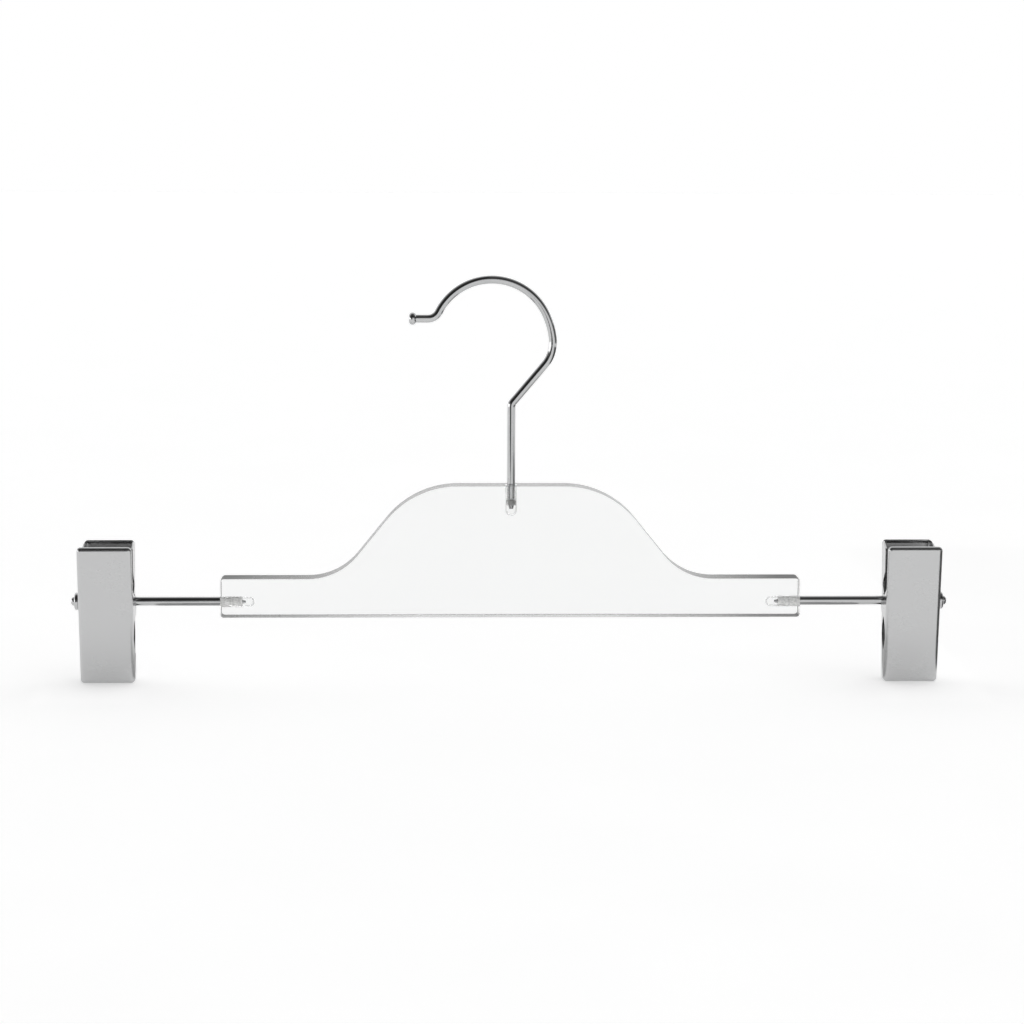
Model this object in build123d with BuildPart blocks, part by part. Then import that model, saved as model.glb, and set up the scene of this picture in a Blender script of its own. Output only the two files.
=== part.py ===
from build123d import *
import math
import os

os.makedirs("parts", exist_ok=True)

# A clear plate hanger with a swivel hook and two sprung clips that slide on end rods.
# Millimetres. X runs along the hanger, Y from front to back, and Z up from the floor
# that the closed clips stand on. The origin is on that floor, under the hook's stem.

# Whole hanger
overall_length = 400.0
rod_height = 37.0

# Clear plate: flat arms joined to a raised crown by an arc, a slope and an arc
plate_length = 264.0
plate_thickness = 12.0
arm_bottom = 30.3
arm_top = 48.1
crown_top = 90.5
crown_flat = 48.4
crown_radius = 41.7
foot_radius = 29.1
shoulder_slope = 51.0
arm_corner_radius = 1.6
edge_polish_radius = 0.4

# Round blind holes in the plate
hook_hole_radius = 2.75
hook_hole_depth = 14.2
rod_hole_radius = 2.5
rod_hole_depth = 15.5

# Hook wire: stem, slanted run, heel, flatter shoulder, large arc and a level tip
wire_radius = 1.85
stem_height = 127.3
stem_bend_radius = 3.2
slant_angle = 49.8
slant_length = 23.1
heel_radius = 15.9
heel_sweep = 47.5
shoulder_radius = 36.3
shoulder_sweep = 16.8
hook_radius = 26.95
hook_sweep = 128.8
tip_bend_radius = 5.4
tip_end_x = -44.43
tip_head_radius = 2.85
tip_head_length = 3.4
tip_head_overlap = 1.5
tip_head_round = 1.65

# Swivel in the crown: bush, collar below it and the stem's riveted end
swivel_gap = 0.05
bush_length = 6.4
collar_radius = 2.25
collar_length = 2.7
collar_gap = 0.1
collar_edge_radius = 0.4
bush_chamfer = 0.25
neck_radius = 1.0
rivet_radius = 1.35
rivet_length = 1.7
rivet_taper = 12.0

# Rods, their sleeves in the plate, and the collars that keep the clips on
rod_radius = 2.05
rod_chamfer = 0.3
rod_end_radius = 1.3
rod_tip_radius = 1.0
rod_tip_length = 1.6
rod_tip_taper = 15.0
insert_length = 9.8
insert_chamfer = 0.2
press_gap = 0.02
end_collar_radius = 4.05
end_collar_length = 2.4
end_collar_edge_radius = 0.9
end_collar_gap = 0.15
rod_stub = 1.65

# Clip plates: trays of folded sheet, hinged on the rod by an ear on each side
clip_height = 63.5
clip_width = 24.8
clip_half_depth_top = 12.9
clip_half_depth_bottom = 5.9
sheet = 0.7
nesting_gap = 0.15
fold_radius = 1.8
rim_depth = 2.0
ear_radius = 5.2
ear_drop = 2.0
ear_hole_radius = 2.14
ear_top_angle = 60.0
ear_bottom_angle = 70.0
gape_height = 22.5
jaw_close_height = 13.0
jaw_edge_gap = 0.3
flange_blend_radius = 1.5

# Side flanges above the ear, as distance from the mid-plane and height
front_flange = ((10.9, 63.5), (9.3, 43.5))
front_gape_depth = 7.0
back_flange = ((8.5, 63.5), (0.8, 60.5), (0.5, 50.5), (6.3, 44.0))
back_gape_depth = 5.6

# Grip pads
pad_top = 13.0
pad_bevel_height = 2.0
pad_bevel_depth = 1.2
pad_side_gap = 1.5
pad_face_gap = 0.15
pad_skin_gap = 0.05
pad_corner_radius = 0.5
groove_count = 4
groove_offset = 0.75
groove_width = 0.8
groove_depth = 0.5

# Sleeve and torsion spring on the rod
sleeve_radius = 2.75
sleeve_bore_gap = 0.05
sleeve_end_gap = 0.1
spring_wire_radius = 0.6
spring_radius = 3.7
spring_turns = 4
spring_pitch = 1.35
spring_arm_lean = 21.0
spring_arm_length = 19.6

# Places worked out from the sizes above
plate_end = plate_length / 2
rod_end = overall_length / 2
end_collar_base = rod_end - rod_stub - end_collar_length
clip_centre = end_collar_base - end_collar_gap - clip_width / 2
bush_bottom = crown_top - bush_length
collar_top = bush_bottom - collar_gap
collar_bottom = collar_top - collar_length


def save(piece, name):
    """Label a finished piece and write it as one STEP file."""
    piece.part.label = name
    export_step(piece.part, f"parts/{name}.step")


def rod_plane(side, distance):
    """A plane across a rod, facing outward along it, at a distance from the middle."""
    return Plane(origin=(side * distance, 0, rod_height), x_dir=(0, 1, 0), z_dir=(side, 0, 0))


def drill_blind_hole(mouth, radius, depth):
    """Cut a round hole with a hemispherical end inward from a mouth plane."""
    with Locations(mouth):
        Cylinder(radius, depth - radius, align=(Align.CENTER, Align.CENTER, Align.MAX), mode=Mode.SUBTRACT)
    with Locations(mouth.offset(radius - depth)):
        Sphere(radius, mode=Mode.SUBTRACT)


def make_plate():
    """Clear plate with its three blind holes."""
    slope = math.radians(shoulder_slope)
    crown_arc_x = crown_flat / 2 + crown_radius * math.sin(slope)
    crown_arc_z = crown_top - crown_radius * (1 - math.cos(slope))
    foot_arc_z = arm_top + foot_radius * (1 - math.cos(slope))
    foot_arc_x = crown_arc_x + (crown_arc_z - foot_arc_z) / math.tan(slope)
    foot_x = foot_arc_x + foot_radius * math.sin(slope)
    with BuildPart() as acrylic_plate:
        with BuildSketch(Plane.XZ):
            with BuildLine():
                Line((0, arm_bottom), (plate_end, arm_bottom))
                Line((plate_end, arm_bottom), (plate_end, arm_top))
                arm = Line((plate_end, arm_top), (foot_x, arm_top))
                foot = JernArc(arm @ 1, arm % 1, foot_radius, -shoulder_slope)
                rise = Line(foot @ 1, (crown_arc_x, crown_arc_z))
                crown = JernArc(rise @ 1, rise % 1, crown_radius, shoulder_slope)
                Line(crown @ 1, (0, crown_top))
                mirror(about=Plane.YZ)
            make_face()
            ends = vertices().group_by(Axis.X)
            fillet(ends[0] + ends[-1], radius=arm_corner_radius)
        extrude(amount=plate_thickness / 2, both=True)
        flat_sides = faces().sort_by(Axis.Y)
        fillet(flat_sides[0].edges() + flat_sides[-1].edges(), radius=edge_polish_radius)
        drill_blind_hole(Plane.XY.offset(crown_top), hook_hole_radius, hook_hole_depth)
        for side in (-1, 1):
            drill_blind_hole(rod_plane(side, plate_end), rod_hole_radius, rod_hole_depth)
    save(acrylic_plate, "acrylic_plate")


def make_hook_wire():
    """Bent wire with its riveted lower end; gives back where its level tip ends."""
    slant = math.radians(slant_angle)
    slant_end_x = slant_length * math.cos(slant)
    slant_end_z = stem_height + slant_length * math.sin(slant)
    level_turn = 180 - slant_angle - heel_sweep - shoulder_sweep - hook_sweep
    with BuildPart() as hook_wire:
        with BuildLine(Plane.XZ) as centreline:
            run = FilletPolyline(
                (0, bush_bottom),
                (0, stem_height),
                (slant_end_x, slant_end_z),
                radius=stem_bend_radius,
            )
            heel = JernArc(run @ 1, run % 1, heel_radius, heel_sweep)
            shoulder = JernArc(heel @ 1, heel % 1, shoulder_radius, shoulder_sweep)
            arc = JernArc(shoulder @ 1, shoulder % 1, hook_radius, hook_sweep)
            bend = JernArc(arc @ 1, arc % 1, tip_bend_radius, level_turn)
            tip_end = Vector(tip_end_x, 0, (bend @ 1).Z)
            Line(bend @ 1, tip_end)
        with BuildSketch(Plane.XY.offset(bush_bottom)):
            Circle(wire_radius)
        sweep(path=centreline)
        with BuildSketch(Plane.XY.offset(bush_bottom)):
            Circle(neck_radius)
        extrude(amount=collar_bottom - bush_bottom)
        with BuildSketch(Plane.XY.offset(collar_bottom)):
            Circle(rivet_radius)
        extrude(amount=-rivet_length, taper=rivet_taper)
    save(hook_wire, "hook_wire")
    return tip_end


def make_tip_head(tip_end):
    """Rounded bead pressed on the end of the hook's tip."""
    start = tip_end + Vector(tip_head_overlap, 0, 0)
    head_plane = Plane(origin=start, x_dir=(0, 1, 0), z_dir=(-1, 0, 0))
    with BuildPart() as hook_tip_head:
        with BuildSketch(head_plane):
            Circle(tip_head_radius)
        extrude(amount=tip_head_length)
        fillet(edges().filter_by(GeomType.CIRCLE), radius=tip_head_round)
        with Locations(-head_plane):
            Hole(wire_radius + press_gap, depth=tip_head_overlap + press_gap)
    save(hook_tip_head, "hook_tip_head")


def make_hook_retainer():
    """Collar riveted on the stem below the bush."""
    with BuildPart() as hook_retainer:
        with BuildSketch(Plane.XY.offset(collar_bottom)):
            Circle(collar_radius)
            Circle(neck_radius + press_gap, mode=Mode.SUBTRACT)
        extrude(amount=collar_length)
        rims = edges().filter_by(GeomType.CIRCLE).sort_by(SortBy.RADIUS)[-2:]
        fillet(rims, radius=collar_edge_radius)
    save(hook_retainer, "hook_retainer")


def make_hook_socket():
    """Clear bush, pressed into the crown, in which the hook's stem turns."""
    with BuildPart() as hook_socket:
        with BuildSketch(Plane.XY.offset(bush_bottom)):
            Circle(hook_hole_radius - press_gap)
            Circle(wire_radius + swivel_gap, mode=Mode.SUBTRACT)
        extrude(amount=bush_length)
        chamfer(edges().filter_by(GeomType.CIRCLE).sort_by(SortBy.RADIUS)[-2:], length=bush_chamfer)
    save(hook_socket, "hook_socket")


def make_rod(side, hand):
    """Rod, the sleeve that holds it in the plate, and the collar near its end."""
    insert_inner = plate_end - insert_length
    with BuildPart() as rod:
        with BuildSketch(rod_plane(side, insert_inner)):
            Circle(rod_radius)
        extrude(amount=rod_end - insert_inner)
        rims = edges().filter_by(GeomType.CIRCLE).sort_by(lambda rim: side * rim.center().X)
        chamfer(rims[0], length=rod_chamfer)
        fillet(rims[-1], radius=rod_end_radius)
        with BuildSketch(rod_plane(side, insert_inner)):
            Circle(rod_tip_radius)
        extrude(amount=-rod_tip_length, taper=rod_tip_taper)
    save(rod, f"{hand}_rod")

    with BuildPart() as insert:
        with BuildSketch(rod_plane(side, insert_inner)):
            Circle(rod_hole_radius - press_gap)
            Circle(rod_radius + press_gap, mode=Mode.SUBTRACT)
        extrude(amount=insert_length)
        rims = edges().filter_by(GeomType.CIRCLE).sort_by(SortBy.RADIUS)[-2:]
        chamfer(rims, length=insert_chamfer)
    save(insert, f"{hand}_rod_insert")

    with BuildPart() as end_collar:
        with BuildSketch(rod_plane(side, end_collar_base)):
            Circle(end_collar_radius)
            Circle(rod_radius + press_gap, mode=Mode.SUBTRACT)
        extrude(amount=end_collar_length)
        rims = edges().filter_by(GeomType.CIRCLE).sort_by(SortBy.RADIUS)[-2:]
        fillet(rims, radius=end_collar_edge_radius)
    save(end_collar, f"{hand}_end_collar")


def face_depth(height):
    """Distance from the mid-plane to a clip plate's outer face at a height."""
    slope = (clip_half_depth_top - clip_half_depth_bottom) / clip_height
    return clip_half_depth_bottom + slope * height


def fold_edges(facing):
    """Edges of a clip block along which its sheet folds, round the outer face."""
    outer = faces().filter_by(GeomType.PLANE).sort_by(Axis.Y)[-1 if facing > 0 else 0]
    ends = faces().group_by(Axis.Z)
    return outer.edges() + ends[0].edges().filter_by(Axis.Y) + ends[-1].edges().filter_by(Axis.Y)


def make_block(centre, width, facing, inset):
    """Block from a clip plate's outer face, less an inset, to beyond the mid-plane."""
    low = inset
    high = clip_height - inset
    with BuildPart() as block:
        with BuildSketch(Plane.YZ.offset(centre)):
            with BuildLine():
                Polyline(
                    (facing * (face_depth(low) - inset), low),
                    (facing * (face_depth(high) - inset), high),
                    (-facing * clip_half_depth_top, high),
                    (-facing * clip_half_depth_top, low),
                    close=True,
                )
            make_face()
        extrude(amount=width / 2 - inset, both=True)
        fillet(fold_edges(facing), radius=fold_radius - inset)
    return block.part


def make_side_outline(facing, flange, gape_depth):
    """Side view of a clip plate: face, flange, ear, gape and gripping edge."""

    def at(depth, height):
        return (facing * depth, height)

    ear_height = rod_height - ear_drop
    top_angle = math.radians(ear_top_angle)
    bottom_angle = math.radians(ear_bottom_angle)
    ear_top = at(ear_radius * math.cos(top_angle), ear_height + ear_radius * math.sin(top_angle))
    ear_bottom = at(
        ear_radius * math.cos(bottom_angle),
        ear_height - ear_radius * math.sin(bottom_angle),
    )
    rim = [at(*point) for point in flange]
    jaw_close = at(jaw_edge_gap, jaw_close_height)
    with BuildSketch(mode=Mode.PRIVATE) as outline:
        with BuildLine():
            Polyline(at(face_depth(0), 0), at(face_depth(clip_height), clip_height), *rim, ear_top)
            ThreePointArc(ear_top, at(-ear_radius, ear_height), ear_bottom)
            ThreePointArc(ear_bottom, at(gape_depth, gape_height), jaw_close)
            Polyline(jaw_close, at(jaw_edge_gap, 0), at(face_depth(0), 0))
        make_face()
        for corner in (*rim[1:], ear_top, ear_bottom):
            fillet(vertices().sort_by_distance((*corner, 0))[0], radius=flange_blend_radius)
    return outline.sketch


def make_clip_plate(centre, width, facing, flange, gape_depth, name):
    """One jaw: folded sheet with a rolled rim and an ear each side for the rod."""
    block = make_block(centre, width, facing, 0)
    hollow = make_block(centre, width, facing, sheet)
    outline = make_side_outline(facing, flange, gape_depth)
    rim_start = face_depth(clip_height) - rim_depth
    with BuildPart() as clip_plate:
        add(block)
        add(hollow, mode=Mode.SUBTRACT)
        with BuildSketch(Plane.YZ.offset(centre)):
            add(outline)
        extrude(amount=width, both=True, mode=Mode.INTERSECT)
        with Locations((centre, facing * rim_start, clip_height)):
            top_opening = (width - 2 * sheet, 2 * clip_half_depth_top, 2 * fold_radius)
            towards_middle = Align.MAX if facing > 0 else Align.MIN
            Box(*top_opening, align=(Align.CENTER, towards_middle, Align.CENTER), mode=Mode.SUBTRACT)
        with Locations(Plane(origin=(centre, 0, rod_height), z_dir=(1, 0, 0))):
            Cylinder(ear_hole_radius, 2 * width, mode=Mode.SUBTRACT)
    save(clip_plate, name)


def make_pad(centre, width, facing, name):
    """Ribbed pad behind a jaw's gripping edge."""
    low = sheet + pad_skin_gap
    backing = sheet + pad_skin_gap
    half_width = width / 2 - sheet - pad_side_gap
    groove_step = (pad_top - low) / (groove_count + 1)
    with BuildPart() as pad:
        with BuildSketch(Plane.YZ.offset(centre)):
            with BuildLine():
                Polyline(
                    (facing * pad_face_gap, low),
                    (facing * pad_face_gap, pad_top - pad_bevel_height),
                    (facing * (pad_face_gap + pad_bevel_depth), pad_top),
                    (facing * (face_depth(pad_top) - backing), pad_top),
                    (facing * (face_depth(low) - backing), low),
                    close=True,
                )
            make_face()
        extrude(amount=half_width, both=True)
        heel = edges().filter_by(Axis.X).group_by(Axis.Z)[0].sort_by(Axis.Y)[-1 if facing > 0 else 0]
        fillet(heel, radius=fold_radius - sheet)
        fillet(edges().filter_by(Axis.Z), radius=pad_corner_radius)
        for groove in range(groove_count):
            height = low + (groove + groove_offset) * groove_step
            with Locations((centre, facing * pad_face_gap, height)):
                Box(width, 2 * groove_depth, groove_width, mode=Mode.SUBTRACT)
    save(pad, name)


def make_sleeve(centre, inner_width, name):
    """Tube on the rod, between the ears, that carries the jaws and the spring."""
    with BuildPart() as sleeve:
        with BuildSketch(Plane(origin=(centre, 0, rod_height), z_dir=(1, 0, 0))):
            Circle(sleeve_radius)
            Circle(rod_radius + sleeve_bore_gap, mode=Mode.SUBTRACT)
        extrude(amount=inner_width / 2 - sleeve_end_gap, both=True)
    save(sleeve, name)


def make_spring(centre, name):
    """Torsion spring round the sleeve, with an arm up the inside of each plate."""
    start_angle = math.radians(180 + spring_arm_lean)
    turns = spring_turns + (180 - 2 * spring_arm_lean) / 360
    coil_length = turns * spring_pitch
    with BuildPart() as coil:
        with BuildLine() as turns_line:
            Helix(spring_pitch, coil_length, spring_radius)
        wire = turns_line.line
        with BuildSketch(Plane(origin=wire @ 0, z_dir=wire % 0)):
            Circle(spring_wire_radius)
        sweep(path=wire, is_frenet=True)
        for end, direction in ((wire @ 0, wire % 0 * -1), (wire @ 1, wire % 1)):
            with BuildSketch(Plane(origin=end, z_dir=direction)):
                Circle(spring_wire_radius)
            extrude(amount=spring_arm_length)
    coil_plane = Plane(
        origin=(centre - coil_length / 2, 0, rod_height),
        x_dir=(0, math.cos(start_angle), math.sin(start_angle)),
        z_dir=(1, 0, 0),
    )
    with BuildPart() as spring:
        with Locations(coil_plane):
            add(coil.part)
    save(spring, name)


def make_clip(side, hand):
    """One sprung clip: two nested plates, pads, sleeve and spring."""
    centre = side * clip_centre
    back_width = clip_width - 2 * (sheet + nesting_gap)
    make_clip_plate(centre, clip_width, -1, front_flange, front_gape_depth, f"{hand}_front_plate")
    make_clip_plate(centre, back_width, 1, back_flange, back_gape_depth, f"{hand}_back_plate")
    make_pad(centre, clip_width, -1, f"{hand}_front_pad")
    make_pad(centre, back_width, 1, f"{hand}_back_pad")
    make_sleeve(centre, back_width - 2 * sheet, f"{hand}_pivot_sleeve")
    make_spring(centre, f"{hand}_spring")


make_plate()
make_hook_socket()
make_tip_head(make_hook_wire())
make_hook_retainer()
for rod_side, rod_hand in ((-1, "left"), (1, "right")):
    make_rod(rod_side, rod_hand)
    make_clip(rod_side, rod_hand)
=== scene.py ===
import math

import bpy
from mathutils import Matrix, Vector


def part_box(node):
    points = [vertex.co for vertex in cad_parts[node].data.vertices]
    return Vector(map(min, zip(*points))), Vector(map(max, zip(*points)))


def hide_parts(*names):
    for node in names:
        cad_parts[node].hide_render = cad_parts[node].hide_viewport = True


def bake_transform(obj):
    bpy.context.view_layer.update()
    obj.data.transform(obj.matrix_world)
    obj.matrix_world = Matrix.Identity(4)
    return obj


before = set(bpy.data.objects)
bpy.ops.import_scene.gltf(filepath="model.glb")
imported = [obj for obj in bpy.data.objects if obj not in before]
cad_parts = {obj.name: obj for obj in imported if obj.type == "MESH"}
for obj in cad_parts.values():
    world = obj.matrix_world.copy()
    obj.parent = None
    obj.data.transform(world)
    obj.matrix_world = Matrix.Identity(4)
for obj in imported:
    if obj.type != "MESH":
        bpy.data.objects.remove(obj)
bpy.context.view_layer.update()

# Lengths are in metres and angles in degrees, in the CAD frame: X runs to the right along
# the rods, Y runs away from the viewer and Z runs up from the floor.


def middle(node):
    """Middle of a CAD node's box."""
    low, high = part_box(node)
    return (low + high) / 2


HANDS = ("left", "right")
ROD_HEIGHT = middle("left_rod").z
CLIP_X = middle("right_front_plate").x

# Clip springs
SPRING_WIRE_RADIUS = 0.0006
SPRING_RADIUS = 0.0037
SPRING_TURNS = 4
SPRING_PITCH = 0.00135
SPRING_ARM_LEAN = 21.0
SPRING_ARM_LENGTH = 0.0196
SPRING_STEPS_PER_TURN = 32
SPRING_BEVEL_STEPS = 5
SPRING_ARM_SHARES = (0.25, 0.5, 0.75, 1.0)

# Acrylic plate: base colours, and how far from a drilled hole's axis its look fades out
ACRYLIC_CLEAR = (0.925, 0.93, 0.928)
# The edge colour is painted shade: it stands for dark reflections seen inside the plate's edges.
ACRYLIC_PAINTED_EDGE_SHADE = (0.06, 0.063, 0.063)
HOLE_FADE_START = 0.0032
HOLE_FADE_END = 0.0040
HOOK_HOLE_BOTTOM = ROD_HEIGHT + 0.020
HOOK_HOLE_FADE = 0.001

# Floor, which glows a little so that shadows on it stay pale
FLOOR_HALF = 12.0
FLOOR_GLOW = 0.35

# Sheets just above the floor that only the metal's reflections see. They paint shadows and dark
# surroundings into the reflections. Each shade is a share of the white floor.
CARD_HEIGHT = 0.0004
CARD_MOTTLE = 1.15
# Painted shadow: the sheets in front of the clips darken the floor seen in the clips' reflections
FOOT_PAINTED_SHADOW = 0.86
FOOT_HALF_WIDTH = 0.030
FOOT_FRONT = -0.050
FOOT_BACK = -0.014
ROOM_PAINTED_REFLECTION = 0.09
SIDE_PAINTED_REFLECTION = 0.09
ROD_PAINTED_SHADOW = 0.42
ROD_CARD_FRONT = -0.05
ROD_CARD_BACK = 0.12
ROD_CARD_LEFT_INNER = -0.13
ROD_CARD_RIGHT_INNER = 0.10
CLIP_TO_ROD_CARD = 0.018
CLIP_TO_SIDE_CARD = 0.032
SIDE_CARD_WIDTH = 0.60
SIDE_CARD_FRONT = -0.80
SIDE_CARD_CORNER = -0.03
SIDE_CARD_BACK = 0.40

# Upright glowing panels beside the object, seen only in reflections: a painted highlight on the left
# and a painted dark reflection on the right
PANEL_X = 1.6
PANEL_HEIGHT = 0.50
PANEL_WIDTH = 2.4
PANEL_LEFT_BRIGHTNESS = 2.0
PANEL_RIGHT_BRIGHTNESS = 0.12

# Dark room in front of the object, between two slants: X over the distance ahead
ROOM_START = 0.70
ROOM_DEPTH = 5.0
ROOM_LEFT = -1.05
ROOM_RIGHT = -0.08
ROOM_LEFT_FADE = 0.10
ROOM_RIGHT_FADE = 0.04
ROOM_JUST_AHEAD = 0.0001

# Brightness of the studio by angle, from straight ahead of the object, over its top, to
# straight behind it: white at the floor, with a dark opening ahead and above
STUDIO_WHITE = 1.0
STUDIO_DARK = 0.03
STUDIO_OVERHEAD = 0.14
STUDIO_STOPS = (
    (0.5, STUDIO_WHITE),
    (34.0, STUDIO_DARK),
    (95.0, STUDIO_OVERHEAD),
    (128.0, STUDIO_WHITE),
)

# Key light
KEY_STRENGTH = 1.06
KEY_DIRECTION = (-0.35, 0.35, -1)
KEY_SPREAD = 80

# Camera
CAMERA_PLACE = (-0.0371, -1.2000, 0.2444)
CAMERA_DOWN = 7.895
CAMERA_TURN = 1.793
CAMERA_ROLL = 0.218
CAMERA_LENS_MM = 93.64
CAMERA_SENSOR_MM = 36.0
CAMERA_NEAR = 0.05
CAMERA_FAR = 60.0


# ---------------------------------------------------------------- node helpers
def grey(level):
    """Grey for a socket, with full alpha."""
    return (level, level, level, 1)


def warm_grey(level):
    """Grey with a trace less blue, for a colour ramp."""
    return (level, level, 0.99 * level)


class Nodes:
    """A node tree with short calls for the nodes used here."""

    def __init__(self, owner):
        owner.use_nodes = True
        self.tree = owner.node_tree
        self.tree.nodes.clear()

    def feed(self, socket, value):
        """Link a source to a socket, or give the socket a plain value."""
        if isinstance(value, bpy.types.NodeSocket):
            self.tree.links.new(value, socket)
        else:
            socket.default_value = value

    def feed_named(self, node, values):
        """Feed a node's sockets by name, with _ for a space."""
        for name, value in values.items():
            self.feed(node.inputs[name.replace("_", " ")], value)

    def node(self, kind, **values):
        """New node, with sources or plain values on some sockets."""
        node = self.tree.nodes.new(kind)
        self.feed_named(node, values)
        return node

    def maths(self, operation, first, second=0.0):
        """Two values joined by a Math node; either may be a plain number."""
        node = self.node("ShaderNodeMath")
        node.operation = operation
        self.feed(node.inputs[0], first)
        self.feed(node.inputs[1], second)
        return node.outputs["Value"]

    def product(self, first, *others):
        """Values multiplied together."""
        total = first
        for value in others:
            total = self.maths("MULTIPLY", total, value)
        return total

    def size(self, value):
        """A value without its sign."""
        return self.maths("ABSOLUTE", value)

    def ramp(self, value, low, high, start=0.3, end=0.7):
        """Value mapped from start..end to low..high, and held outside them."""
        limits = {"From_Min": start, "From_Max": end, "To_Min": low, "To_Max": high}
        return self.node("ShaderNodeMapRange", Value=value, **limits).outputs["Result"]

    def axes(self, vector):
        """The X, Y and Z sockets of a vector."""
        return self.node("ShaderNodeSeparateXYZ", Vector=vector).outputs


class Shader(Nodes):
    """A material built round one Principled shader."""

    def __init__(self, name):
        self.material = bpy.data.materials.new(name)
        super().__init__(self.material)
        coordinates = self.node("ShaderNodeTexCoord").outputs
        self.place = coordinates["Object"]
        self.normal = coordinates["Normal"]
        self.main = self.node("ShaderNodeBsdfPrincipled")
        self.output = self.node("ShaderNodeOutputMaterial", Surface=self.main.outputs["BSDF"])

    def set(self, **values):
        """Sources or plain values for the Principled shader's sockets."""
        self.feed_named(self.main, values)

    def stretched(self, stretch, shift=(0, 0, 0)):
        """Object coordinates scaled by a factor along each axis, then shifted."""
        mapping = self.node("ShaderNodeMapping", Vector=self.place, Scale=stretch, Location=shift)
        return mapping.outputs["Vector"]

    def distance(self, across, origin):
        """Distance from a line through an origin; across is 0 along the line's axis."""
        shift = [-part * share for part, share in zip(origin, across)]
        length = self.node("ShaderNodeVectorMath")
        length.operation = "LENGTH"
        self.feed(length.inputs[0], self.stretched(across, shift))
        return length.outputs["Value"]

    def noise(self, scale, detail=2.0, stretch=(1, 1, 1)):
        """Noise value with a feature size of about 1 / scale metres."""
        vector = self.stretched(stretch)
        node = self.node("ShaderNodeTexNoise", Vector=vector, Scale=scale, Detail=detail)
        return node.outputs["Fac"]

    def colour(self, value, low, high, start=0.3, end=0.7):
        """Base colour that runs from low to high as a value runs from start to end."""
        node = self.node("ShaderNodeValToRGB", Fac=value)
        for stop, place, shade in zip(node.color_ramp.elements, (start, end), (low, high)):
            stop.position = place
            stop.color = (*shade, 1)
        self.set(Base_Color=node.outputs["Color"])

    def bump(self, source, height):
        """Fine relief, with the height of a full step."""
        node = self.node("ShaderNodeBump", Strength=1.0, Distance=height, Height=source)
        self.set(Normal=node.outputs["Normal"])


# ------------------------------------------------------------------- materials
def make_polished_chrome(name, grain):
    """Bright plated steel: faint drawing lines along the grain and soft smudges."""
    shader = Shader(name)
    smudge = shader.noise(scale=90, detail=3)
    lines = shader.noise(scale=5200, stretch=grain)
    shader.colour(smudge, low=(0.50, 0.505, 0.51), high=(0.56, 0.563, 0.565))
    haze = shader.ramp(smudge, low=0.045, high=0.11)
    drawn = shader.ramp(lines, low=0.0, high=0.035)
    shader.set(Metallic=1.0, Roughness=shader.maths("ADD", haze, drawn))
    shader.bump(lines, height=0.6e-6)
    return shader.material


def make_satin_chrome(name, inward):
    """Satin plated sheet with painted shade on the side that faces inward, between the plates: 1 is
    +Y and -1 is -Y.
    """
    shader = Shader(name)
    smudge = shader.noise(scale=70, detail=3)
    brushing = shader.noise(scale=9000, stretch=(0.05, 1, 1))
    facing = shader.axes(shader.normal)["Y"]
    # Painted shade: the colour is darker on the inward side, where shade falls between the two
    # plates, down to the low colour below.
    painted_inner_shade = shader.ramp(facing, low=1.0, high=0.0, start=0.55 * inward, end=0.85 * inward)
    tone = shader.product(painted_inner_shade, shader.ramp(smudge, low=0.94, high=1.0))
    shader.colour(tone, low=(0.42, 0.42, 0.422), high=(0.57, 0.572, 0.575), start=0.0, end=1.0)
    haze = shader.ramp(smudge, low=0.23, high=0.26)
    brushed = shader.ramp(brushing, low=0.0, high=0.03)
    shader.set(Metallic=1.0, Roughness=shader.maths("ADD", haze, brushed))
    shader.bump(brushing, height=0.4e-6)
    return shader.material


def make_turned_metal(name, dark, light, metallic):
    """Turned sleeve metal between two greys, with tool rings round the rod's axis."""
    shader = Shader(name)
    rings = shader.noise(scale=7000, stretch=(1, 0.02, 0.02))
    tone = shader.noise(scale=900)
    shader.colour(tone, low=warm_grey(dark), high=warm_grey(light))
    shader.set(Metallic=metallic, Roughness=shader.ramp(rings, low=0.34, high=0.50))
    shader.bump(rings, height=2.5e-6)
    return shader.material


def make_spring_steel(name):
    """Bright drawn spring wire, a little darker than the plating."""
    shader = Shader(name)
    tone = shader.noise(scale=700, detail=3)
    pits = shader.noise(scale=6500, detail=3)
    shader.colour(tone, low=(0.30, 0.30, 0.305), high=(0.42, 0.42, 0.425))
    shader.set(Metallic=1.0, Roughness=shader.ramp(pits, low=0.18, high=0.34))
    shader.bump(pits, height=2.0e-6)
    return shader.material


def make_grip_rubber(name):
    """Matt dark rubber with a fine moulded stipple and a dusty bloom."""
    shader = Shader(name)
    stipple = shader.noise(scale=3800, detail=3)
    bloom = shader.noise(scale=260, detail=4)
    shader.colour(bloom, low=(0.016, 0.016, 0.017), high=(0.034, 0.034, 0.035))
    shader.set(Roughness=shader.ramp(bloom, low=0.62, high=0.82))
    shader.bump(stipple, height=20e-6)
    return shader.material


def clear_shadows(shader):
    """Let light pass straight through to the floor, so that the shadow is pale."""
    clear = shader.node("ShaderNodeBsdfTransparent").outputs["BSDF"]
    path = shader.node("ShaderNodeLightPath").outputs
    lighting = shader.maths("MAXIMUM", path["Is Shadow Ray"], path["Is Diffuse Ray"])
    mix = shader.node("ShaderNodeMixShader", Fac=lighting)
    shader.feed(mix.inputs[1], shader.main.outputs["BSDF"])
    shader.feed(mix.inputs[2], clear)
    shader.feed(shader.output.inputs["Surface"], mix.outputs["Shader"])


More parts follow.
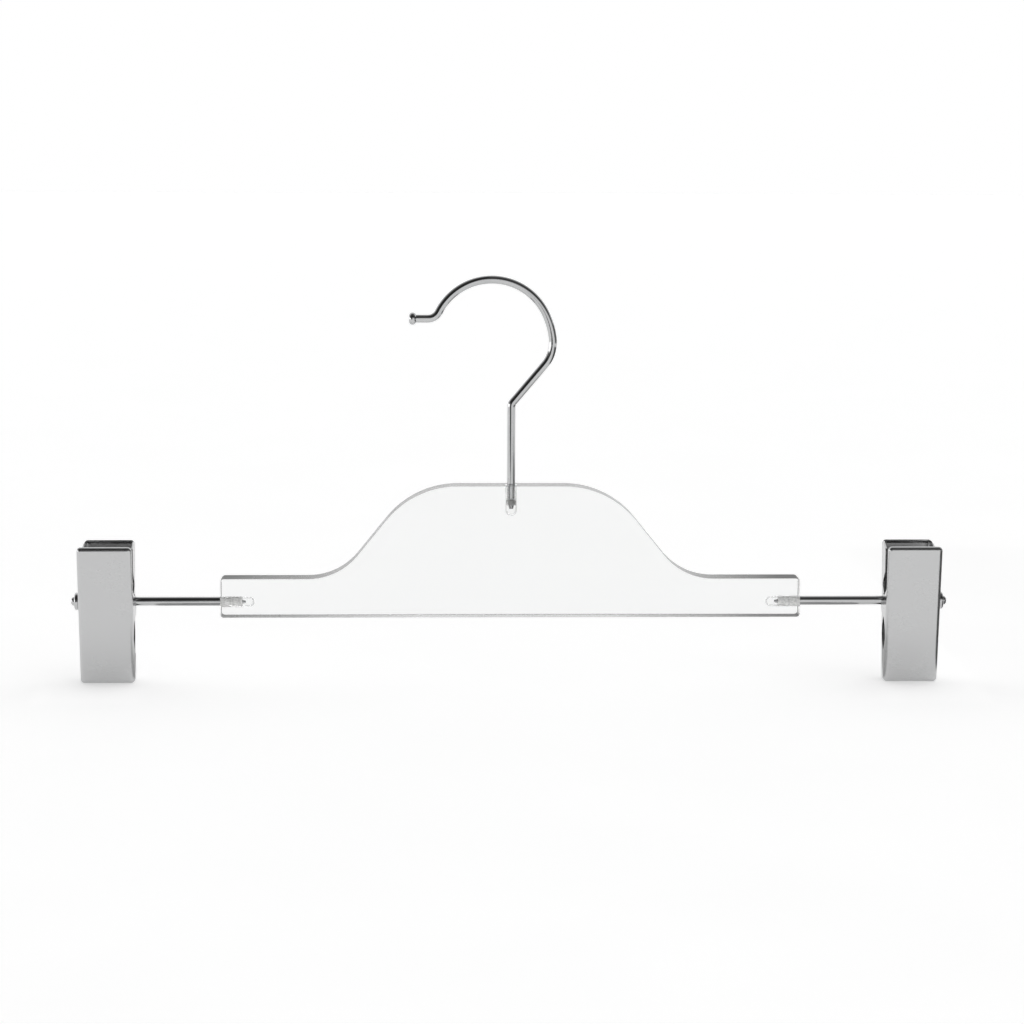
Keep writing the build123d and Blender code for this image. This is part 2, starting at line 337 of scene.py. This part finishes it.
def drilled(shader, level, height):
    """1 on the walls of the holes for the rods and the hook, and 0 elsewhere."""
    from_rods = shader.distance(across=(0, 1, 1), origin=(0, 0, ROD_HEIGHT))
    from_stem = shader.distance(across=(1, 1, 0), origin=(0, 0, 0))
    rod_holes = shader.ramp(from_rods, low=1.0, high=0.0, start=HOLE_FADE_START, end=HOLE_FADE_END)
    near_stem = shader.ramp(from_stem, low=1.0, high=0.0, start=HOLE_FADE_START, end=HOLE_FADE_END)
    bottom = HOOK_HOLE_BOTTOM
    above = shader.ramp(height, low=0.0, high=1.0, start=bottom, end=bottom + HOOK_HOLE_FADE)
    off_top = shader.ramp(level, low=1.0, high=0.0, start=0.97, end=0.99)
    return shader.maths("MAXIMUM", rod_holes, shader.product(near_stem, above, off_top))


def make_acrylic():
    """Clear cast sheet: polished faces, faint drilled holes, and frosted edges with painted dark
    reflections.

    The frosted edges clear up where they are seen face-on, as glass does. Transmission,
    opacity and gloss change with the angle there, and the painted dark base colour does not.
    """
    shader = Shader("acrylic_polished")
    haze = shader.noise(scale=55, detail=3)
    polish = shader.noise(scale=420)
    patches = shader.noise(scale=14, stretch=(1, 0, 1))
    facing = shader.axes(shader.normal)
    place = shader.axes(shader.place)
    level = shader.size(facing["Z"])
    outward = shader.size(place["X"])
    hole = drilled(shader, level, place["Z"])
    solid = shader.maths("SUBTRACT", 1.0, hole)

    # Upper and lower edges count in full, and the plate's two ends count for less
    ends = shader.ramp(shader.size(facing["X"]), low=0.0, high=0.35, start=0.60, end=1.0)
    edges = shader.ramp(level, low=0.0, high=1.0, start=0.10, end=0.75)
    rim = shader.maths("ADD", edges, ends)

    # The edges are frosted, and painted darker as painted shade, in patches, towards both ends, and
    # under the left arm
    patchy = shader.ramp(patches, low=0.8, high=1.0)
    towards_ends = shader.ramp(outward, low=0.72, high=1.0, start=0.04, end=0.09)
    underside = shader.ramp(facing["Z"], low=1.0, high=0.0, start=-0.75, end=-0.10)
    left_arm = shader.ramp(place["X"], low=1.0, high=0.0, start=-0.09, end=-0.02)
    ends_frost_and_painted_shade = shader.product(patchy, towards_ends)
    frost_and_painted_shade = shader.maths("MAXIMUM", ends_frost_and_painted_shade, shader.product(underside, left_arm))
    # Painted shade: this mask darkens the edges' base colour towards the dark edge colour
    painted_edge_shade = shader.product(rim, solid, frost_and_painted_shade)

    # How much of the frosted edge finish shows at the angle it is seen from
    glancing = shader.node("ShaderNodeLayerWeight").outputs["Facing"]
    shown = shader.product(frost_and_painted_shade, shader.ramp(glancing, low=0.25, high=1.0, start=0.30, end=0.75))
    edge = shader.product(rim, solid, shown)
    downward = shader.product(underside, solid, shown)
    cleared = shader.maths("SUBTRACT", painted_edge_shade, edge)

    frosted = shader.ramp(edge, low=0.0, high=0.30, start=0.0, end=1.0)
    frosted_below = shader.ramp(downward, low=0.0, high=0.60, start=0.0, end=1.0)
    frosting = shader.maths("ADD", frosted, frosted_below)
    edge_opacity = shader.ramp(cleared, low=1.0, high=0.12, start=0.0, end=0.75)
    hole_opacity = shader.ramp(hole, low=1.0, high=0.30, start=0.0, end=1.0)
    arm_mirror = shader.ramp(outward, low=0.05, high=0.45, start=0.09, end=0.125)
    mirror_below = shader.ramp(downward, low=0.0, high=0.95, start=0.0, end=1.0)

    # Painted reflection: the edges get the dark base colour, and their metallic gloss mirrors that
    # dark colour
    shader.colour(painted_edge_shade, low=ACRYLIC_CLEAR, high=ACRYLIC_PAINTED_EDGE_SHADE, start=0.0, end=1.0)
    shader.set(
        IOR=1.49,
        Specular_Tint=grey(0.22),
        Roughness=shader.maths("ADD", shader.ramp(haze, low=0.0, high=0.012), frosting),
        Transmission_Weight=shader.ramp(edge, low=1.0, high=0.15, start=0.0, end=1.0),
        Alpha=shader.product(edge_opacity, hole_opacity),
        Metallic=shader.maths("MAXIMUM", shader.product(edge, arm_mirror), mirror_below),
    )
    shader.bump(polish, height=0.4e-6)
    clear_shadows(shader)
    return shader.material


def make_bush_plastic():
    """Thin clear bush that all but vanishes in the plate."""
    shader = Shader("bush_moulded")
    flow = shader.noise(scale=300, detail=3)
    shader.colour(flow, low=(0.90, 0.905, 0.905), high=(0.95, 0.955, 0.955))
    shader.set(IOR=1.08, Transmission_Weight=1.0, Alpha=0.35)
    shader.set(Roughness=shader.ramp(flow, low=0.02, high=0.08))
    shader.bump(flow, height=2.0e-6)
    clear_shadows(shader)
    return shader.material


materials = {
    "wire": make_polished_chrome("chrome_wire", grain=(1, 1, 0.06)),
    "rod": make_polished_chrome("chrome_rod", grain=(0.06, 1, 1)),
    "cap": make_polished_chrome("chrome_cap", grain=(1, 0.3, 0.3)),
    "front_clip": make_satin_chrome("front_clip_satin", inward=1),
    "back_clip": make_satin_chrome("back_clip_satin", inward=-1),
    "insert": make_turned_metal("insert_turned", dark=0.60, light=1.0, metallic=0.20),
    "retainer": make_turned_metal("retainer_turned", dark=0.30, light=0.40, metallic=1.0),
    "spring": make_spring_steel("spring_drawn"),
    "rubber": make_grip_rubber("grip_rubber_stippled"),
    "plate": make_acrylic(),
    "bush": make_bush_plastic(),
}

SINGLE_LOOKS = {
    "acrylic_plate": "plate",
    "hook_socket": "bush",
    "hook_wire": "wire",
    "hook_tip_head": "cap",
    "hook_retainer": "retainer",
}

# Looks of the nodes that come once for each hand
PAIRED_LOOKS = {
    "rod": "rod",
    "rod_insert": "insert",
    "end_collar": "cap",
    "front_plate": "front_clip",
    "back_plate": "back_clip",
    "front_pad": "rubber",
    "back_pad": "rubber",
    "pivot_sleeve": "insert",
}


def dress(thing, material):
    """Put one material on every slot of an object."""
    if not thing.material_slots:
        thing.data.materials.append(material)
    for material_slot in thing.material_slots:
        material_slot.link = "OBJECT"
        material_slot.material = material


for node_name, look in SINGLE_LOOKS.items():
    dress(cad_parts[node_name], materials[look])
for hand in HANDS:
    for part_name, look in PAIRED_LOOKS.items():
        dress(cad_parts[f"{hand}_{part_name}"], materials[look])


# --------------------------------------------------------------------- springs
def spring_path(centre_x, axis_z):
    """Centreline of a torsion spring: front arm, turns about X, then back arm."""
    lean = math.radians(SPRING_ARM_LEAN)
    start = math.pi + lean
    sweep = 2 * math.pi * SPRING_TURNS + math.pi - 2 * lean
    end = start + sweep
    length = SPRING_PITCH * sweep / (2 * math.pi)
    rise = length / sweep
    steps = SPRING_STEPS_PER_TURN * SPRING_TURNS
    turns = []
    for step in range(steps + 1):
        share = step / steps
        angle = start + sweep * share
        x = centre_x + length * (share - 0.5)
        y = SPRING_RADIUS * math.cos(angle)
        z = axis_z + SPRING_RADIUS * math.sin(angle)
        turns.append(Vector((x, y, z)))

    def heading(angle):
        """Direction of the wire at an angle round the coil."""
        across = SPRING_RADIUS * math.sin(angle)
        upward = SPRING_RADIUS * math.cos(angle)
        return Vector((rise, -across, upward)).normalized()

    front_arm = -heading(start) * SPRING_ARM_LENGTH
    back_arm = heading(end) * SPRING_ARM_LENGTH
    front = [turns[0] + front_arm * share for share in reversed(SPRING_ARM_SHARES)]
    back = [turns[-1] + back_arm * share for share in SPRING_ARM_SHARES]
    return front + turns + back


def wire_mesh(name, points):
    """Round capped wire along a row of points."""
    curve = bpy.data.curves.new(f"{name}_curve", "CURVE")
    curve.dimensions = "3D"
    curve.bevel_depth = SPRING_WIRE_RADIUS
    curve.bevel_resolution = SPRING_BEVEL_STEPS
    curve.use_fill_caps = True
    spline = curve.splines.new("POLY")
    spline.points.add(len(points) - 1)
    for point, place in zip(spline.points, points):
        point.co = (*place, 1)
    holder = bpy.data.objects.new(f"{name}_holder", curve)
    bpy.context.scene.collection.objects.link(holder)
    bpy.context.view_layer.update()
    evaluated = holder.evaluated_get(bpy.context.evaluated_depsgraph_get())
    mesh = bpy.data.meshes.new_from_object(evaluated)
    mesh.name = name
    bpy.data.objects.remove(holder)
    mesh.polygons.foreach_set("use_smooth", [True] * len(mesh.polygons))
    return mesh


def make_spring(hand):
    """Blender-built spring between the clip's two jaws, in place of the hidden CAD spring."""
    centre_x = middle(f"{hand}_spring").x
    axis_z = middle(f"{hand}_pivot_sleeve").z
    name = f"{hand}_spring_wire"
    spring = bpy.data.objects.new(name, wire_mesh(name, spring_path(centre_x, axis_z)))
    bpy.context.scene.collection.objects.link(spring)
    dress(spring, materials["spring"])
    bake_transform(spring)
    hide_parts(f"{hand}_spring")


for hand in HANDS:
    make_spring(hand)


# ------------------------------------------------------------ floor and lights
def make_sheet(name, corners):
    """Flat sheet with four corners."""
    mesh = bpy.data.meshes.new(name)
    mesh.from_pydata(corners, [], [(0, 1, 2, 3)])
    sheet = bpy.data.objects.new(name, mesh)
    bpy.context.scene.collection.objects.link(sheet)
    return sheet


def box_corners(low_x, low_y, high_x, high_y):
    """Corners of a rectangle on the floor."""
    return [(low_x, low_y), (high_x, low_y), (high_x, high_y), (low_x, high_y)]


def lifted(corners, height):
    """Corners on the floor raised to a height."""
    return [(x, y, height) for x, y in corners]


def only_reflected(thing):
    """Leave an object visible to reflections only."""
    thing.visible_camera = False
    thing.visible_diffuse = False
    thing.visible_transmission = False
    thing.visible_shadow = False


def make_floor():
    """Plain pale floor that the clips stand on."""
    corners = box_corners(-FLOOR_HALF, -FLOOR_HALF, FLOOR_HALF, FLOOR_HALF)
    floor = make_sheet("floor", lifted(corners, 0))
    shader = Shader("floor_pale")
    tone = shader.noise(scale=9, detail=3)
    shader.colour(tone, low=(0.905, 0.905, 0.905), high=(0.925, 0.925, 0.925))
    shader.set(Specular_IOR_Level=0.15, Roughness=shader.ramp(tone, low=0.75, high=0.85))
    shader.set(Emission_Color=grey(1), Emission_Strength=FLOOR_GLOW)
    dress(floor, shader.material)


def make_painted_reflection_sheet(name, shade, corners):
    """Glowing sheet on the floor, a share as bright, that only the metal's reflections see: a
    painted darker patch in the reflections.
    """
    card = make_sheet(name, lifted(corners, CARD_HEIGHT))
    shader = Shader(name)
    tone = shader.noise(scale=20)
    light = shade * CARD_MOTTLE
    shader.colour(tone, low=(shade, shade, shade), high=(light, light, light))
    shader.set(Specular_IOR_Level=0.1, Roughness=shader.ramp(tone, low=0.8, high=0.9))
    shader.set(Emission_Color=grey(1), Emission_Strength=FLOOR_GLOW * shade)
    dress(card, shader.material)
    only_reflected(card)


def make_painted_reflection_panel(name, brightness, x):
    """Upright glowing panel beside the object that only the metal's reflections see: a painted
    reflection.
    """
    half = PANEL_WIDTH / 2
    corners = [(x, -half, 0), (x, half, 0), (x, half, PANEL_HEIGHT), (x, -half, PANEL_HEIGHT)]
    panel = make_sheet(name, corners)
    shader = Shader(name)
    shader.set(Base_Color=grey(0), Emission_Color=grey(1), Emission_Strength=brightness)
    dress(panel, shader.material)
    only_reflected(panel)


def make_painted_foot_shadows():
    """Painted shadow in the metal's reflections: a sheet on the floor just in front of each clip."""
    for hand, centre in zip(HANDS, (-CLIP_X, CLIP_X)):
        low_x = centre - FOOT_HALF_WIDTH
        high_x = centre + FOOT_HALF_WIDTH
        make_painted_reflection_sheet(f"card_{hand}_foot_painted_shadow", FOOT_PAINTED_SHADOW, box_corners(low_x, FOOT_FRONT, high_x, FOOT_BACK))


def make_painted_room_reflection():
    """Painted dark reflection of the floor of the dark room in front, on the left."""
    far_side = [(slant * ROOM_DEPTH, -ROOM_DEPTH) for slant in (ROOM_LEFT, ROOM_RIGHT)]
    near_side = [(slant * ROOM_START, -ROOM_START) for slant in (ROOM_RIGHT, ROOM_LEFT)]
    make_painted_reflection_sheet("painted_room_reflection", ROOM_PAINTED_REFLECTION, far_side + near_side)


def make_painted_side_reflection():
    """Painted dark reflection: a sheet on the floor to the right of the right-hand clip."""
    near_x = CLIP_X + CLIP_TO_SIDE_CARD
    far_x = near_x + SIDE_CARD_WIDTH
    corners = [
        (near_x, SIDE_CARD_CORNER),
        (far_x, SIDE_CARD_FRONT),
        (far_x, SIDE_CARD_BACK),
        (near_x, SIDE_CARD_BACK),
    ]
    make_painted_reflection_sheet("painted_side_reflection", SIDE_PAINTED_REFLECTION, corners)


def make_painted_rod_shadows():
    """Painted shadows in the metal's reflections: sheets on the floor under the rods."""
    outer = CLIP_X - CLIP_TO_ROD_CARD
    right = box_corners(ROD_CARD_RIGHT_INNER, ROD_CARD_FRONT, outer, ROD_CARD_BACK)
    left = box_corners(-outer, ROD_CARD_FRONT, ROD_CARD_LEFT_INNER, ROD_CARD_BACK)
    make_painted_reflection_sheet("painted_right_rod_shadow", ROD_PAINTED_SHADOW, right)
    make_painted_reflection_sheet("painted_left_rod_shadow", ROD_PAINTED_SHADOW, left)


def make_key_light():
    """Wide soft light that lights the floor evenly without showing in the metal."""
    data = bpy.data.lights.new("key_soft", "SUN")
    data.angle = math.radians(KEY_SPREAD)
    data.energy = KEY_STRENGTH
    lamp = bpy.data.objects.new("key_soft", data)
    bpy.context.scene.collection.objects.link(lamp)
    lamp.rotation_euler = Vector(KEY_DIRECTION).to_track_quat("-Z", "Y").to_euler()
    lamp.visible_camera = False
    lamp.visible_glossy = False
    lamp.visible_transmission = False


def make_world():
    """White studio with a dark opening ahead and above, and a dark room on the left."""
    world = bpy.data.worlds.new("studio")
    bpy.context.scene.world = world
    nodes = Nodes(world)
    direction = nodes.axes(nodes.node("ShaderNodeTexCoord").outputs["Generated"])
    ahead = nodes.maths("MULTIPLY", direction["Y"], -1.0)
    angle = nodes.maths("ARCTAN2", direction["Z"], ahead)
    half_turn = nodes.maths("DIVIDE", angle, math.pi)
    opening = nodes.node("ShaderNodeValToRGB", Fac=half_turn)
    opening.color_ramp.interpolation = "EASE"
    stops = opening.color_ramp.elements
    for stop, (degrees, level) in zip(stops, (STUDIO_STOPS[0], STUDIO_STOPS[-1])):
        stop.position = degrees / 180
        stop.color = grey(level)
    for degrees, level in STUDIO_STOPS[1:-1]:
        stops.new(degrees / 180).color = grey(level)

    slant = nodes.maths("DIVIDE", direction["X"], nodes.maths("MAXIMUM", ahead, ROOM_JUST_AHEAD))
    left_low, left_high = ROOM_LEFT - ROOM_LEFT_FADE, ROOM_LEFT + ROOM_LEFT_FADE
    right_low, right_high = ROOM_RIGHT - ROOM_RIGHT_FADE, ROOM_RIGHT + ROOM_RIGHT_FADE
    past_left = nodes.ramp(slant, low=0.0, high=1.0, start=left_low, end=left_high)
    past_right = nodes.ramp(slant, low=0.0, high=1.0, start=right_high, end=right_low)
    room = nodes.product(past_left, past_right)
    studio = nodes.node(
        "ShaderNodeMixRGB",
        Fac=room,
        Color1=opening.outputs["Color"],
        Color2=grey(STUDIO_DARK),
    )
    seen = nodes.node(
        "ShaderNodeMixRGB",
        Fac=nodes.node("ShaderNodeLightPath").outputs["Is Camera Ray"],
        Color1=studio.outputs["Color"],
        Color2=grey(STUDIO_WHITE),
    )
    background = nodes.node("ShaderNodeBackground", Color=seen.outputs["Color"])
    nodes.node("ShaderNodeOutputWorld", Surface=background.outputs["Background"])


make_floor()
make_key_light()
make_painted_foot_shadows()
make_painted_room_reflection()
make_painted_side_reflection()
make_painted_rod_shadows()
# Painted reflections: a bright panel on the left for highlights and a dim one on the right for a
# dark side
make_painted_reflection_panel("painted_highlight_panel_left", PANEL_LEFT_BRIGHTNESS, -PANEL_X)
make_painted_reflection_panel("painted_dark_panel_right", PANEL_RIGHT_BRIGHTNESS, PANEL_X)
make_world()


# ---------------------------------------------------------------------- camera
def make_camera():
    """Camera at the photograph's viewing angle, with no shift and no blur."""
    down = math.radians(CAMERA_DOWN)
    turn = math.radians(CAMERA_TURN)
    roll = math.radians(CAMERA_ROLL)
    flat = math.cos(down)
    forward = Vector((math.sin(turn) * flat, math.cos(turn) * flat, -math.sin(down)))
    level = Vector((math.cos(turn), -math.sin(turn), 0))
    upward = level.cross(forward)
    right = level * math.cos(roll) + upward * math.sin(roll)
    up = right.cross(forward)
    data = bpy.data.cameras.new("camera")
    data.lens = CAMERA_LENS_MM
    data.sensor_width = CAMERA_SENSOR_MM
    data.clip_start = CAMERA_NEAR
    data.clip_end = CAMERA_FAR
    camera = bpy.data.objects.new("camera", data)
    bpy.context.scene.collection.objects.link(camera)
    turned = Matrix((right, up, -forward)).transposed().to_4x4()
    camera.matrix_world = Matrix.Translation(CAMERA_PLACE) @ turned
    bpy.context.scene.camera = camera


make_camera()
bpy.context.scene.view_settings.view_transform = "Standard"
